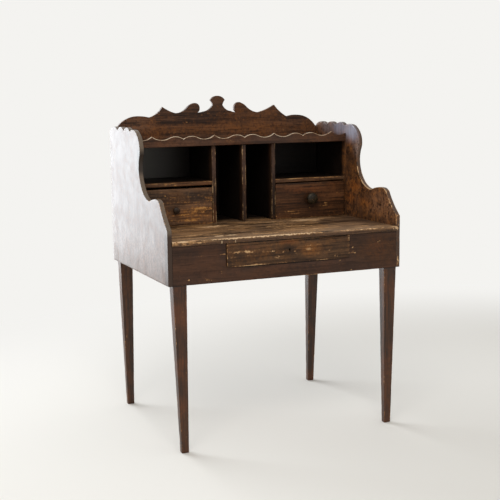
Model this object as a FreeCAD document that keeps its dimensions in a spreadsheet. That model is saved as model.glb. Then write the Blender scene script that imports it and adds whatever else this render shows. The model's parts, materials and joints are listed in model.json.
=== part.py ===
import FreeCAD, Part
import os
import Sketcher

# A country-made bonheur du jour: a small writing table on four tapered legs, with a
# frieze drawer under the top and a nest of pigeonholes between two scroll-sawn sides.
# Origin: on the floor under the middle of the whole desk. X runs across, -Y is the front.

# Driving sizes in millimetres
sizes = {
    # case
    "width": 876,                   # over the two side boards
    "side_depth": 646,              # front edge to back edge of a side board
    "side_height": 508,             # lower edge to the scalloped top of a side board
    "side_thick": 15.5,
    "leg_clear": 574,               # floor to the lower edge of the frieze
    "apron_height": 132,            # lower edge of the frieze to the underside of the desk top
    "apron_thick": 18,
    "desk_thick": 17,
    "desk_overhang": 7,             # how far the desk top stands in front of the frieze
    "desk_front_depth": 430,        # front plank of the desk top
    "desk_nose": 4,                 # rounding of the front edge of the desk top
    "back_thick": 14,
    # legs
    "leg_width": 48,
    "leg_depth": 38,
    "foot_width": 25,
    "foot_depth": 19,
    "foot_inset": 18.5,             # how far the outer face of a leg runs in, top to foot
    "foot_chamfer": 2,
    # pigeonholes
    "cabinet_depth": 257,           # front of the dividers to the back of the desk
    "cabinet_height": 287,          # desk top to the underside of the cabinet top
    "cabinet_top_thick": 14,
    "divider_thick": 15,
    "divider_offset": 120,          # middle of the desk to the middle of an outer divider
    "shelf_thick": 13.5,
    "shelf_rise_left": 143,         # desk top to the underside of the left shelf
    "shelf_rise_right": 138,        # and of the right shelf, which sits a little lower
    "rail_height": 39,
    "rail_thick": 11,
    "crest_height": 178,            # underside of the cabinet top to the tip of the finial
    # main drawer
    "drawer_width": 462,
    "drawer_sill": 50,              # lower edge of the frieze to the floor of the drawer opening
    "drawer_gap": 1,                # running gap beside and above the drawer
    "drawer_proud": 4,              # how far the worn-in drawer front stands out of the frieze
    "drawer_length": 504,
    "drawer_front_thick": 20,
    "drawer_side_thick": 11,
    "drawer_back_thick": 12,
    "drawer_bottom_thick": 8,
    "drawer_bottom_rise": 6,
    "drawer_top_drop": 4,           # how far the sides and back stop below the drawer front
    "runner_thick": 18,
    "runner_lap": 24,               # how far a runner reaches in under the drawer
    "guide_width": 20,
    "guide_height": 26,
    "stop_width": 20,
    "stop_length": 16,
    "stop_height": 14,
    # lock
    "lock_width": 60,
    "lock_height": 42,
    "lock_thick": 9,
    "bolt_width": 22,
    "bolt_thick": 4.4,
    "bolt_height": 20,
    "bolt_sink": 0.5,               # how far the drawn bolt stops below the edge of the lock
    "bolt_gap": 0.3,
    "bolt_mortise": 8,              # depth of its mortise in the underside of the desk top
    "keyhole_rise": 46,             # floor of the drawer opening to the eye of the keyhole
    "keyhole_radius": 3,
    "keyhole_slot": 3.2,
    "keyhole_drop": 9,
    "key_depth": 6,
    # small drawers
    "nest_gap": 1.5,                # running gap at each side of a small drawer
    "nest_height": 133.5,
    "nest_front_thick": 16,
    "nest_side_thick": 9,
    "nest_bottom_thick": 6,
    "nest_bottom_rise": 5,
    "nest_top_drop": 3,
    "groove_depth": 4,              # how far every drawer bottom is let into its frame
    "knob_rise_left": 56,           # desk top to the middle of the left knob
    "knob_rise_right": 73,          # and of the right knob, set by eye
    "knob_shift": 2,                # knobs sit this much nearer the middle of the desk
    "knob_left": 26,                # diameter of the left knob, a small replacement
    "knob_right": 44,
    "knob_tenon": 11,
    "knob_gap": 0.15,
}

# Sawn outlines, as shares of the board. A stretch is a list of points: one point is a
# straight cut to it, two points are a round cut through the first to the second.
# side board: shares of its depth from the front edge and of its height
side_shares = [
    [(0, 0.366)],
    [(0.065, 0.443), (0.115, 0.527)],
    [(0.136, 0.542), (0.17, 0.548)],
    [(0.232, 0.541), (0.279, 0.523)],
    [(0.388, 0.57), (0.446, 0.675)],
    [(0.452, 0.748), (0.43, 0.825)],
    [(0.43, 0.887), (0.464, 0.949)],
    [(0.505, 0.979), (0.556, 0.987)],
    [(0.582, 0.984), (0.6, 0.973)],
]
scallop_count = 2
scallop_pitch_share = 0.12
scallop_top_share = 1
scallop_notch_share = 0.974
scallop_end_shares = [(0.915, 0.998), (1, 0.955)]

# crest: shares of the inside width from its left end and of the crest height. It was sawn
# by hand, so the two halves differ a little.
crest_start_shares = (0, 0.298)
crest_shares = [
    [(0.036, 0.483), (0.088, 0.587)],
    [(0.124, 0.593), (0.162, 0.562)],
    [(0.202, 0.652), (0.225, 0.781)],
    [(0.262, 0.685), (0.287, 0.643)],
    [(0.317, 0.666), (0.34, 0.742)],
    [(0.356, 0.809), (0.376, 0.848)],
    [(0.397, 0.826), (0.405, 0.736)],
    [(0.402, 0.68), (0.394, 0.646)],
    [(0.41, 0.649), (0.425, 0.666)],
    [(0.458, 0.736), (0.469, 0.803)],
    [(0.466, 0.86), (0.458, 0.91)],
    [(0.4935, 1), (0.529, 0.91)],
    [(0.522, 0.86), (0.517, 0.803)],
    [(0.527, 0.736), (0.558, 0.666)],
    [(0.572, 0.643), (0.586, 0.638)],
    [(0.577, 0.68), (0.575, 0.736)],
    [(0.584, 0.826), (0.605, 0.854)],
    [(0.624, 0.809), (0.64, 0.742)],
    [(0.668, 0.657), (0.698, 0.626)],
    [(0.737, 0.68), (0.779, 0.781)],
    [(0.804, 0.652), (0.843, 0.52)],
    [(0.876, 0.548), (0.912, 0.545)],
    [(0.964, 0.449), (1, 0.258)],
]

# gallery rail: one half wave, from a notch over a bump and through a trough to a cusp
wave_span_share = 0.28325           # of half the inside width
wave_count = 2
notch_shares = (0, 0.692)
bump_shares = (0.27, 0.949)
turn_shares = (0.47, 0.795)
trough_shares = (0.66, 0.654)
cusp_shares = (1, 1)

# turned knob: shares of its diameter, radius then distance out from the drawer front
knob_shares = [
    [(0.27, 0)],
    [(0.27, 0.08)],
    [(0.2, 0.19)],
    [(0.48, 0.43)],
    [(0.5, 0.52)],
    [(0.43, 0.62)],
    [(0.24, 0.71)],
    [(0, 0.71)],
]

# middle of a quarter round, measured from the corner that it takes off
round_share = 0.2929

doc = FreeCAD.newDocument("bonheur_du_jour")
sheet = doc.addObject("Spreadsheet::Sheet", "Sizes")
for row, (alias, value) in enumerate(sizes.items(), start=1):
    sheet.set(f"A{row}", alias)
    sheet.set(f"B{row}", str(value))
    sheet.setAlias(f"B{row}", alias)
doc.recompute()

# Places that several pieces share
zero = "0"
inside = "(Sizes.width / 2 - Sizes.side_thick)"
front = "(-(Sizes.side_depth - Sizes.desk_overhang) / 2)"
back = f"({front} + Sizes.side_depth)"
back_face = f"({back} - Sizes.back_thick)"
apron_back = f"({front} + Sizes.apron_thick)"
rear_apron_face = f"({back} - Sizes.apron_thick)"
apron_low = "Sizes.leg_clear"
desk_under = "(Sizes.leg_clear + Sizes.apron_height)"
desk_face = f"({desk_under} + Sizes.desk_thick)"
nose_plane = f"({front} - Sizes.desk_overhang)"
desk_joint = f"({nose_plane} + Sizes.desk_front_depth)"
cabinet_front = f"({back} - Sizes.cabinet_depth)"
cabinet_under = f"({desk_face} + Sizes.cabinet_height)"
cabinet_top_face = f"({cabinet_under} + Sizes.cabinet_top_thick)"
divider_in = "(Sizes.divider_offset - Sizes.divider_thick / 2)"
divider_out = "(Sizes.divider_offset + Sizes.divider_thick / 2)"
sill = "(Sizes.leg_clear + Sizes.drawer_sill)"
drawer_half = "(Sizes.drawer_width / 2)"
opening_half = f"({drawer_half} + Sizes.drawer_gap)"
drawer_face = f"({front} - Sizes.drawer_proud)"
drawer_inner = f"({drawer_face} + Sizes.drawer_front_thick)"
drawer_end = f"({drawer_face} + Sizes.drawer_length)"
drawer_top = f"({desk_under} - Sizes.drawer_gap)"
key_eye = f"({sill} + Sizes.keyhole_rise)"
bolt_half = "(Sizes.bolt_width / 2)"
lock_mid = f"({drawer_inner} - Sizes.lock_thick / 2)"
bolt_foot = f"({drawer_top} - Sizes.bolt_sink - Sizes.bolt_height)"

nodes = []


def number(expression):
    return float(sheet.evalExpression(expression))


def minus(expression):
    return f"(-{expression})"


def mirrored(low, high, side):
    # a span on the right of the desk, or its mirror image on the left
    return (low, high) if side == "right" else (minus(high), minus(low))


def keep(piece, label):
    piece.Label = label
    nodes.append(piece)
    return piece


def place(piece, x, y, z, turn=0):
    piece.Placement = FreeCAD.Placement(
        FreeCAD.Vector(), FreeCAD.Rotation(FreeCAD.Vector(0, 0, 1), turn))
    for axis, expression in zip("xyz", (x, y, z)):
        piece.setExpression(f"Placement.Base.{axis}", expression)


def block(name, x, y, z):
    # a plank between a low and a high plane on each axis
    box = doc.addObject("Part::Box", name)
    for size, axis, (low, high) in zip(("Length", "Width", "Height"), "xyz", (x, y, z)):
        box.setExpression(size, f"{high} - {low}")
        box.setExpression(f"Placement.Base.{axis}", low)
    return box


def board(label, x, y, z):
    return keep(block(label, x, y, z), label)


def bore(name, x, y, z, radius, length):
    # a round hole that runs back along Y
    hole = doc.addObject("Part::Cylinder", name)
    hole.Placement = FreeCAD.Placement(
        FreeCAD.Vector(), FreeCAD.Rotation(FreeCAD.Vector(1, 0, 0), -90))
    hole.setExpression("Radius", radius)
    hole.setExpression("Height", length)
    for axis, expression in zip("xyz", (x, y, z)):
        hole.setExpression(f"Placement.Base.{axis}", expression)
    return hole


def worked(label, blank, cuts):
    # a plank with its rebates, grooves and holes taken out
    waste = cuts[0]
    if len(cuts) > 1:
        waste = doc.addObject("Part::MultiFuse", f"{label}_waste")
        waste.Shapes = cuts
    piece = doc.addObject("Part::Cut", label)
    piece.Base = blank
    piece.Tool = waste
    return keep(piece, label)


def plane(body, role):
    return next(part for part in body.Origin.OriginFeatures if part.Role == role)


def pin(sketch, geometry, point, spot):
    # tie a point of a sketch to its two distances from the corner of the piece
    for kind, axis, expression in zip(("DistanceX", "DistanceY"), (-2, -1), spot):
        if expression == zero:
            sketch.addConstraint(Sketcher.Constraint("PointOnObject", geometry, point, axis))
            continue
        rule = Sketcher.Constraint(kind, -1, 1, geometry, point, number(expression))
        index = sketch.addConstraint(rule)
        sketch.setExpression(f"Constraints[{index}]", expression)


def vector(spot):
    return FreeCAD.Vector(number(spot[0]), number(spot[1]), 0)


def outline(body, name, role, start, stretches, lift=None):
    # a closed sketch of straight and round stretches, every corner tied to the sheet
    sketch = body.newObject("Sketcher::SketchObject", name)
    sketch.AttachmentSupport = [(plane(body, role), "")]
    sketch.MapMode = "FlatFace"
    if lift:
        sketch.setExpression("AttachmentOffset.Base.z", lift)
    ends = []
    here = start
    for stretch in stretches:
        there = stretch[-1]
        if len(stretch) == 1:
            curve = sketch.addGeometry(Part.LineSegment(vector(here), vector(there)))
            first, last = 1, 2
        else:
            arc = Part.Arc(vector(here), vector(stretch[0]), vector(there))
            curve = sketch.addGeometry(arc)
            forward = sketch.getPoint(curve, 1).distanceToPoint(vector(here)) \
                < sketch.getPoint(curve, 2).distanceToPoint(vector(here))
            first, last = (1, 2) if forward else (2, 1)
        ends.append((curve, first, last))
        here = there
    for (curve, first, last), following in zip(ends, ends[1:] + ends[:1]):
        joint = Sketcher.Constraint("Coincident", curve, last, following[0], following[1])
        sketch.addConstraint(joint)
    for (curve, first, last), stretch in zip(ends, stretches):
        pin(sketch, curve, last, stretch[-1])
        if len(stretch) == 2:
            middle = sketch.addGeometry(Part.Point(vector(stretch[0])), True)
            on_arc = Sketcher.Constraint("PointOnObject", middle, 1, curve)
            sketch.addConstraint(on_arc)
            pin(sketch, middle, 1, stretch[0])
    return sketch


def rectangle(body, name, x, y, lift=None):
    corners = [(x[0], y[0]), (x[1], y[0]), (x[1], y[1]), (x[0], y[1])]
    stretches = [[corner] for corner in corners[1:] + corners[:1]]
    return outline(body, name, "XY_Plane", corners[0], stretches, lift)


def pad(body, sketch, length):
    feature = body.newObject("PartDesign::Pad", f"{sketch.Name}_pad")
    feature.Profile = sketch
    feature.setExpression("Length", length)
    return feature


def mirror(body, feature):
    copy = body.newObject("PartDesign::Mirrored", f"{feature.Name}_mirrored")
    copy.Originals = [feature]
    copy.MirrorPlane = (plane(body, "YZ_Plane"), [""])
    body.Tip = copy


def scaled(stretches, width, height):
    # the stretches of a table of shares, as expressions
    def grow(share, size):
        return zero if share == 0 else f"{share} * {size}"
    return [[(grow(x, width), grow(y, height)) for x, y in stretch] for stretch in stretches]


def side_board(label, x):
    body = doc.addObject("PartDesign::Body", label)
    shares = [list(stretch) for stretch in side_shares]
    scallop_share = shares[-1][-1][0]
    for scallop in range(scallop_count):
        crown_share = round(scallop_share + scallop_pitch_share / 2, 4)
        scallop_share = round(scallop_share + scallop_pitch_share, 4)
        shares.append([(crown_share, scallop_top_share), (scallop_share, scallop_notch_share)])
    shares.append(scallop_end_shares)
    shares.append([(1, 0)])
    shares.append([(0, 0)])
    stretches = scaled(shares, "Sizes.side_depth", "Sizes.side_height")
    sketch = outline(body, f"{label}_outline", "YZ_Plane", (zero, zero), stretches)
    pad(body, sketch, "Sizes.side_thick")
    place(body, x, front, apron_low)
    keep(body, label)


def front_apron():
    body = doc.addObject("PartDesign::Body", "front_apron")
    corners = [
        (inside, zero), (inside, "Sizes.apron_height"), (opening_half, "Sizes.apron_height"),
        (opening_half, "Sizes.drawer_sill"), (zero, "Sizes.drawer_sill"), (zero, zero)]
    sketch = outline(body, "front_apron_half", "XZ_Plane", (zero, zero), [[c] for c in corners])
    mirror(body, pad(body, sketch, "Sizes.apron_thick"))
    place(body, zero, apron_back, apron_low)
    keep(body, "front_apron")


def desk_front():
    # front plank of the desk top, with a worn round nose and the mortise for the bolt
    body = doc.addObject("PartDesign::Body", "desk_front_board")
    nose = "Sizes.desk_nose"
    thick = "Sizes.desk_thick"
    deep = "Sizes.desk_front_depth"
    near = f"{round_share} * {nose}"
    sketch = outline(body, "desk_front_profile", "YZ_Plane", (nose, zero), [
        [(deep, zero)],
        [(deep, thick)],
        [(nose, thick)],
        [(near, f"{thick} - {near}"), (zero, f"{thick} - {nose}")],
        [(zero, nose)],
        [(near, near), (nose, zero)],
    ])
    pad(body, sketch, f"2 * {inside}")
    doc.recompute()
    whole = body.Shape.Volume
    bolt_place = f"({lock_mid} - {nose_plane})"
    reach = "(Sizes.bolt_thick / 2 + 2 * Sizes.bolt_gap)"
    across = f"({bolt_half} + 2 * Sizes.bolt_gap)"
    hole = rectangle(
        body, "bolt_mortise_outline",
        (f"{inside} - {across}", f"{inside} + {across}"),
        (f"{bolt_place} - {reach}", f"{bolt_place} + {reach}"))
    mortise = body.newObject("PartDesign::Pocket", "bolt_mortise")
    mortise.Profile = hole
    mortise.Reversed = True
    mortise.setExpression("Length", "Sizes.bolt_mortise")
    doc.recompute()
    if body.Shape.Volume >= whole:
        raise ValueError("the bolt mortise cuts nothing")
    place(body, minus(inside), nose_plane, desk_under)
    keep(body, "desk_front_board")


def leg(label, x, y, turn):
    # square leg, tapered from the frieze to a foot with a worn rim, its head let in behind the frieze
    body = doc.addObject("PartDesign::Body", label)
    worn = "Sizes.foot_chamfer"
    foot_end = "Sizes.foot_inset + Sizes.foot_width"
    rim = [(f"Sizes.foot_inset + {worn}", f"{foot_end} - {worn}"), (worn, f"Sizes.foot_depth - {worn}")]
    foot = [("Sizes.foot_inset", foot_end), (zero, "Sizes.foot_depth")]
    knee = [(zero, "Sizes.leg_width"), (zero, "Sizes.leg_depth")]
    head = [(zero, "Sizes.leg_width"), ("Sizes.apron_thick", "Sizes.leg_depth")]
    if turn % 180:
        rim, foot, knee, head = rim[::-1], foot[::-1], knee[::-1], head[::-1]
    taper = body.newObject("PartDesign::AdditiveLoft", f"{label}_taper")
    taper.Profile = rectangle(body, f"{label}_rim", *rim)
    taper.Sections = [
        rectangle(body, f"{label}_foot", *foot, lift=worn),
        rectangle(body, f"{label}_knee", *knee, lift=apron_low)]
    taper.Ruled = True
    pad(body, rectangle(body, f"{label}_head", *head, lift=apron_low), "Sizes.apron_height")
    place(body, x, y, zero, turn)
    keep(body, label)


def crest_board():
    body = doc.addObject("PartDesign::Body", "crest_board")
    shares = crest_shares + [[(1, 0)], [(0, 0)], [crest_start_shares]]
    stretches = scaled(shares, f"(2 * {inside})", "Sizes.crest_height")
    sketch = outline(body, "crest_outline", "XZ_Plane", stretches[-1][-1], stretches)
    pad(body, sketch, "Sizes.back_thick")
    place(body, minus(inside), back, cabinet_under)
    keep(body, "crest_board")


def gallery_rail():
    # waves run out from the middle notch and end where the last trough turns up again
    def at(step, shares, way):
        return (step + way * shares[0], shares[1])
    shares = []
    for wave in range(wave_count):
        low_share = 2 * wave
        high_share = low_share + 2
        if wave:
            shares.append([at(low_share, bump_shares, -1), at(low_share, notch_shares, -1)])
        shares.append([at(low_share, bump_shares, 1), at(low_share, turn_shares, 1)])
        shares.append([at(low_share, trough_shares, 1), at(low_share, cusp_shares, 1)])
        shares.append([at(high_share, trough_shares, -1), at(high_share, turn_shares, -1)])
    wave_shares = [[(round(x * wave_span_share, 5), z) for x, z in stretch] for stretch in shares]
    stretches = scaled(wave_shares, inside, "Sizes.rail_height")
    end_height = stretches[-1][-1][1]
    stretches[-1][-1] = (inside, end_height)
    start = scaled([[notch_shares]], inside, "Sizes.rail_height")[0][0]
    stretches += [[(inside, zero)], [(zero, zero)], [start]]
    body = doc.addObject("PartDesign::Body", "gallery_rail")
    sketch = outline(body, "gallery_rail_half", "XZ_Plane", start, stretches)
    mirror(body, pad(body, sketch, "Sizes.rail_thick"))
    place(body, zero, cabinet_front, cabinet_under)
    keep(body, "gallery_rail")


def drawer(name, x, face, end, low, high, front_thick, side_thick, back_thick,
           bottom_thick, bottom_rise, top_drop, extra_cuts):
    # a drawer box: sides lapped into the front, bottom let into grooves and under the back
    left, right = x
    lap = f"({face} + ({front_thick}) / 2)"
    inner = f"({face} + {front_thick})"
    side_top = f"({high} - {top_drop})"
    panel = (f"({low} + {bottom_rise})", f"({low} + {bottom_rise} + {bottom_thick})")
    groove = "Sizes.groove_depth"
    left_in = f"({left} + {side_thick})"
    right_in = f"({right} - {side_thick})"
    bottom_span = (f"({left_in} - {groove})", f"({right_in} + {groove})")
    bottom_start = f"({inner} - {groove})"
    full_height = (low, high)
    worked(f"{name}_front", block(f"{name}_front_blank", x, (face, inner), full_height), [
        block(f"{name}_left_rebate", (left, left_in), (lap, inner), full_height),
        block(f"{name}_right_rebate", (right_in, right), (lap, inner), full_height),
        block(f"{name}_front_groove", (left_in, right_in), (bottom_start, inner), panel),
    ] + extra_cuts)
    for side, span, cut in (
            ("left", (left, left_in), (bottom_span[0], left_in)),
            ("right", (right_in, right), (right_in, bottom_span[1]))):
        blank = block(f"{name}_{side}_blank", span, (lap, end), (low, side_top))
        worked(f"{name}_side_{side}", blank, [
            block(f"{name}_{side}_groove", cut, (bottom_start, end), panel)])
    board(f"{name}_back", (left_in, right_in), (f"({end} - {back_thick})", end), (panel[1], side_top))
    board(f"{name}_bottom", bottom_span, (bottom_start, end), panel)


def main_drawer():
    lock_half = "(Sizes.lock_width / 2)"
    lock_span = (minus(lock_half), lock_half)
    lock_deep = (f"({drawer_inner} - Sizes.lock_thick)", drawer_inner)
    lock_tall = (f"({drawer_top} - Sizes.lock_height)", drawer_top)
    slot_half = "(Sizes.keyhole_slot / 2)"
    recess = block("lock_recess", lock_span, lock_deep, lock_tall)
    eye = bore("keyhole_eye", zero, drawer_face, key_eye, "Sizes.keyhole_radius",
               "Sizes.drawer_front_thick")
    slot = block("keyhole_slot", (minus(slot_half), slot_half), (drawer_face, drawer_inner),
                 (f"({key_eye} - Sizes.keyhole_drop)", key_eye))
    drawer("main_drawer", (minus(drawer_half), drawer_half), drawer_face, drawer_end, sill, drawer_top,
           "Sizes.drawer_front_thick", "Sizes.drawer_side_thick", "Sizes.drawer_back_thick",
           "Sizes.drawer_bottom_thick", "Sizes.drawer_bottom_rise", "Sizes.drawer_top_drop",
           [recess, eye, slot])
    # lock: an iron case let into the back of the drawer front, and the bolt that it throws up
    bolt_span = (minus(bolt_half), bolt_half)
    bolt_deep = (f"({lock_mid} - Sizes.bolt_thick / 2)", f"({lock_mid} + Sizes.bolt_thick / 2)")
    gap = "Sizes.bolt_gap"
    channel = block("bolt_channel",
                    (f"({bolt_span[0]} - {gap})", f"({bolt_span[1]} + {gap})"),
                    (f"({bolt_deep[0]} - {gap})", f"({bolt_deep[1]} + {gap})"),
                    (bolt_foot, drawer_top))
    socket = bore("key_socket", zero, lock_deep[0], key_eye, "Sizes.keyhole_radius",
                  "Sizes.key_depth")
    worked("lock_case", block("lock_case_blank", lock_span, lock_deep, lock_tall), [channel, socket])
    board("lock_bolt", bolt_span, bolt_deep, (bolt_foot, f"({bolt_foot} + Sizes.bolt_height)"))


def drawer_bearers():
    for side in ("left", "right"):
        length = (apron_back, rear_apron_face)
        reach = f"({opening_half} + Sizes.guide_width)"
        board(f"runner_{side}", mirrored(f"({drawer_half} - Sizes.runner_lap)", reach, side), length,
              (f"({sill} - Sizes.runner_thick)", sill))
        board(f"guide_{side}", mirrored(opening_half, reach, side), length,
              (sill, f"({sill} + Sizes.guide_height)"))
        board(f"drawer_stop_{side}",
              mirrored(f"({drawer_half} - Sizes.stop_width)", drawer_half, side),
              (drawer_end, f"({drawer_end} + Sizes.stop_length)"),
              (sill, f"({sill} + Sizes.stop_height)"))


def knob(label, x, z, diameter):
    # turned knob, its tenon glued through the drawer front
    body = doc.addObject("PartDesign::Body", label)
    tenon = "(Sizes.knob_tenon / 2)"
    deep = "Sizes.nest_front_thick"
    stretches = [[(tenon, zero)], [(tenon, deep)]]
    for stretch in knob_shares:
        stretches.append([
            (zero if radius == 0 else f"{radius} * {diameter}", f"{deep} + {reach} * {diameter}")
            for radius, reach in stretch])
    stretches.append([(zero, zero)])
    sketch = outline(body, f"{label}_profile", "XY_Plane", (zero, zero), stretches)
    turning = body.newObject("PartDesign::Revolution", f"{label}_turning")
    turning.Profile = sketch
    turning.ReferenceAxis = (sketch, ["V_Axis"])
    turning.Angle = 360
    place(body, x, f"({cabinet_front} + {deep})", z, 180)
    keep(body, label)


def small_drawer(side):
    name = f"{side}_nest_drawer"
    span = mirrored(f"({divider_out} + Sizes.nest_gap)", f"({inside} - Sizes.nest_gap)", side)
    knob_x = f"(({divider_out} + {inside}) / 2 - Sizes.knob_shift)"
    if side == "left":
        knob_x = minus(knob_x)
    knob_z = f"({desk_face} + Sizes.knob_rise_{side})"
    hole = bore(f"{side}_knob_hole", knob_x, cabinet_front, knob_z,
                "(Sizes.knob_tenon / 2 + Sizes.knob_gap)", "Sizes.nest_front_thick")
    drawer(name, span, cabinet_front, back_face, desk_face, f"({desk_face} + Sizes.nest_height)",
           "Sizes.nest_front_thick", "Sizes.nest_side_thick", "Sizes.nest_side_thick",
           "Sizes.nest_bottom_thick", "Sizes.nest_bottom_rise", "Sizes.nest_top_drop", [hole])
    knob(f"{side}_knob", knob_x, knob_z, f"Sizes.knob_{side}")


# Case
side_board("side_left", "-Sizes.width / 2")
side_board("side_right", inside)
front_apron()
across_case = (minus(inside), inside)
board("rear_apron", across_case, (rear_apron_face, back), (apron_low, desk_under))
desk_front()
board("desk_back_board", across_case, (desk_joint, back), (desk_under, desk_face))
board("back_board", across_case, (back_face, back), (desk_face, cabinet_under))
crest_board()

# Legs, each turned about its outer corner
leg("leg_front_left", minus(inside), front, 0)
leg("leg_front_right", inside, front, 90)
leg("leg_back_right", inside, back, 180)
leg("leg_back_left", minus(inside), back, 270)

# Pigeonholes
cabinet_deep = (cabinet_front, back_face)
cabinet_tall = (desk_face, cabinet_under)
board("cabinet_top", across_case, cabinet_deep, (cabinet_under, cabinet_top_face))
gallery_rail()
board("divider_centre", ("(-Sizes.divider_thick / 2)", "(Sizes.divider_thick / 2)"), cabinet_deep,
      cabinet_tall)
for side in ("left", "right"):
    board(f"divider_{side}", mirrored(divider_in, divider_out, side), cabinet_deep, cabinet_tall)
    shelf_low = f"({desk_face} + Sizes.shelf_rise_{side})"
    board(f"shelf_{side}", mirrored(divider_out, inside, side), cabinet_deep,
          (shelf_low, f"({shelf_low} + Sizes.shelf_thick)"))

# Drawers
main_drawer()
drawer_bearers()
for side in ("left", "right"):
    small_drawer(side)

doc.recompute()
for piece in doc.Objects:
    if "Invalid" in piece.State or "Error" in piece.State:
        raise ValueError(f"{piece.Label} did not build: {piece.State}")
for piece in nodes:
    if piece.Shape.isNull() or not piece.Shape.isValid():
        raise ValueError(f"{piece.Label} has no sound shape")

os.makedirs("parts", exist_ok=True)
for piece in nodes:
    piece.Shape.exportStep(os.path.join("parts", f"{piece.Label}.step"))
    bounds = piece.Shape.BoundBox
    print(f"{piece.Label}: {bounds.XMin:.1f}..{bounds.XMax:.1f}, {bounds.YMin:.1f}..{bounds.YMax:.1f}, "
          f"{bounds.ZMin:.1f}..{bounds.ZMax:.1f}")
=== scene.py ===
import json
import math

import bmesh
import bpy
from mathutils import Matrix, Vector, noise
from mathutils.bvhtree import BVHTree


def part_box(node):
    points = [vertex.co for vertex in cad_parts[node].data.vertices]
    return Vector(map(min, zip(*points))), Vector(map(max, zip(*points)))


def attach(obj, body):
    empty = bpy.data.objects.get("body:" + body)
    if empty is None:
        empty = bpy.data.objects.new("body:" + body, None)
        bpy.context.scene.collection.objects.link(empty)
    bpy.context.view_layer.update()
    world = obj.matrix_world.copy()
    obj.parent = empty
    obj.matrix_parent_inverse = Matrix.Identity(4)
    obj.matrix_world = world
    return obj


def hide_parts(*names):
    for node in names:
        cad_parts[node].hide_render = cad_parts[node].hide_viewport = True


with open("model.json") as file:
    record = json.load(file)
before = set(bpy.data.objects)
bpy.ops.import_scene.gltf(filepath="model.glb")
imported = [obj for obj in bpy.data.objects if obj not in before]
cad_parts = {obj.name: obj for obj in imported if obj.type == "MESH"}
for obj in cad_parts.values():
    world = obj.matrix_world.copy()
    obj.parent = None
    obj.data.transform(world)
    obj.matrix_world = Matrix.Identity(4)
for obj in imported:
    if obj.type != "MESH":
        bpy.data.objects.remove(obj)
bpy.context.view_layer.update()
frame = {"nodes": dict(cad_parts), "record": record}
nodes = frame["nodes"]
record = frame["record"]
bodyOf = {node: body for body, members in record["behaviour"]["bodies"].items() for node in members}
slotOf = {part["node"]: part["material_slot"] for part in record["subparts"]}
print("frame loaded:", len(nodes), "nodes")

# Faces that the marks below are placed on
innerFace, outerFace = (corner[0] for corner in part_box("side_right"))    # mirrored on the left side
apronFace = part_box("front_apron")[0][1]
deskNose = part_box("desk_front_board")[0][1]
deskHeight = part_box("desk_front_board")[1][2]
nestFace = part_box("divider_left")[0][1]             # dividers, shelves and small drawers
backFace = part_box("back_board")[0][1]               # back and crest, from the front
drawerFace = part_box("main_drawer_front")[0][1]

mergeGap = 1e-5                                     # points this near are one


# Node helpers

def tone(red, green, blue):
    # a paint-chart colour as linear light
    def linear(value):
        share = value / 255
        return share / 12.92 if share <= 0.04045 else ((share + 0.055) / 1.055) ** 2.4
    return (linear(red), linear(green), linear(blue), 1)


def addNode(tree, kind, inputs=None, **options):
    node = tree.nodes.new(kind)
    for key, value in options.items():
        setattr(node, key, value)
    for key, value in (inputs or {}).items():
        if isinstance(value, bpy.types.NodeSocket):
            tree.links.new(value, node.inputs[key])
        else:
            node.inputs[key].default_value = value
    return node


def mixTones(tree, share, first, second):
    inputs = {0: share, 6: first, 7: second}
    return addNode(tree, "ShaderNodeMix", inputs, data_type="RGBA").outputs[2]


def reckon(tree, operation, first, second):
    return addNode(tree, "ShaderNodeMath", {0: first, 1: second}, operation=operation).outputs[0]


def blend(tree, first, firstShare, second, secondShare):
    share = reckon(tree, "MULTIPLY", second, secondShare)
    inputs = {0: first, 1: firstShare, 2: share}
    return addNode(tree, "ShaderNodeMath", inputs, operation="MULTIPLY_ADD").outputs[0]


def ease(tree, value, low, high, start=0.0, end=1.0):
    inputs = {"Value": value, "From Min": low, "From Max": high, "To Min": start, "To Max": end}
    return addNode(tree, "ShaderNodeMapRange", inputs, interpolation_type="SMOOTHSTEP").outputs[0]


def mottle(tree, vector, scale, detail, roughness, twist):
    inputs = {"Vector": vector, "Scale": scale, "Detail": detail}
    inputs.update({"Roughness": roughness, "Distortion": twist})
    return addNode(tree, "ShaderNodeTexNoise", inputs).outputs["Fac"]


def stretch(tree, place, scale, shift):
    inputs = {"Vector": place, "Location": shift, "Scale": scale}
    return addNode(tree, "ShaderNodeMapping", inputs).outputs[0]


def vectorMath(tree, operation, *values):
    return addNode(tree, "ShaderNodeVectorMath", dict(enumerate(values)), operation=operation).outputs


def spot(tree, place, at, reach, core=0.15, boxed=False):
    # 1 at a place on the piece, fading from the core to 0 at its reach, round or boxed
    inputs = {"Vector": place, "Location": at, "Scale": reach}
    near = addNode(tree, "ShaderNodeMapping", inputs, vector_type="TEXTURE").outputs[0]
    if boxed:
        near = vectorMath(tree, "ABSOLUTE", near)[0]
        sides = addNode(tree, "ShaderNodeSeparateXYZ", {0: near}).outputs
        far = reckon(tree, "MAXIMUM", reckon(tree, "MAXIMUM", sides[0], sides[1]), sides[2])
    else:
        far = vectorMath(tree, "LENGTH", near)["Value"]
    return ease(tree, far, core, 1.0, 1.0, 0.0)


def roughen(tree, place, pitch, detail, sway):
    # a place pushed about by noise, so that what is set by it gets a ragged rim
    inputs = {"Vector": place, "Scale": pitch, "Detail": detail}
    jolt = addNode(tree, "ShaderNodeTexNoise", inputs).outputs["Color"]
    jolt = vectorMath(tree, "SUBTRACT", jolt, (0.5, 0.5, 0.5))[0]
    return vectorMath(tree, "MULTIPLY_ADD", jolt, sway, place)[0]


def addBump(tree, shader, height, strength, depth):
    bump = addNode(tree, "ShaderNodeBump", {"Height": height, "Strength": strength, "Distance": depth})
    tree.links.new(bump.outputs[0], shader.inputs["Normal"])


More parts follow.
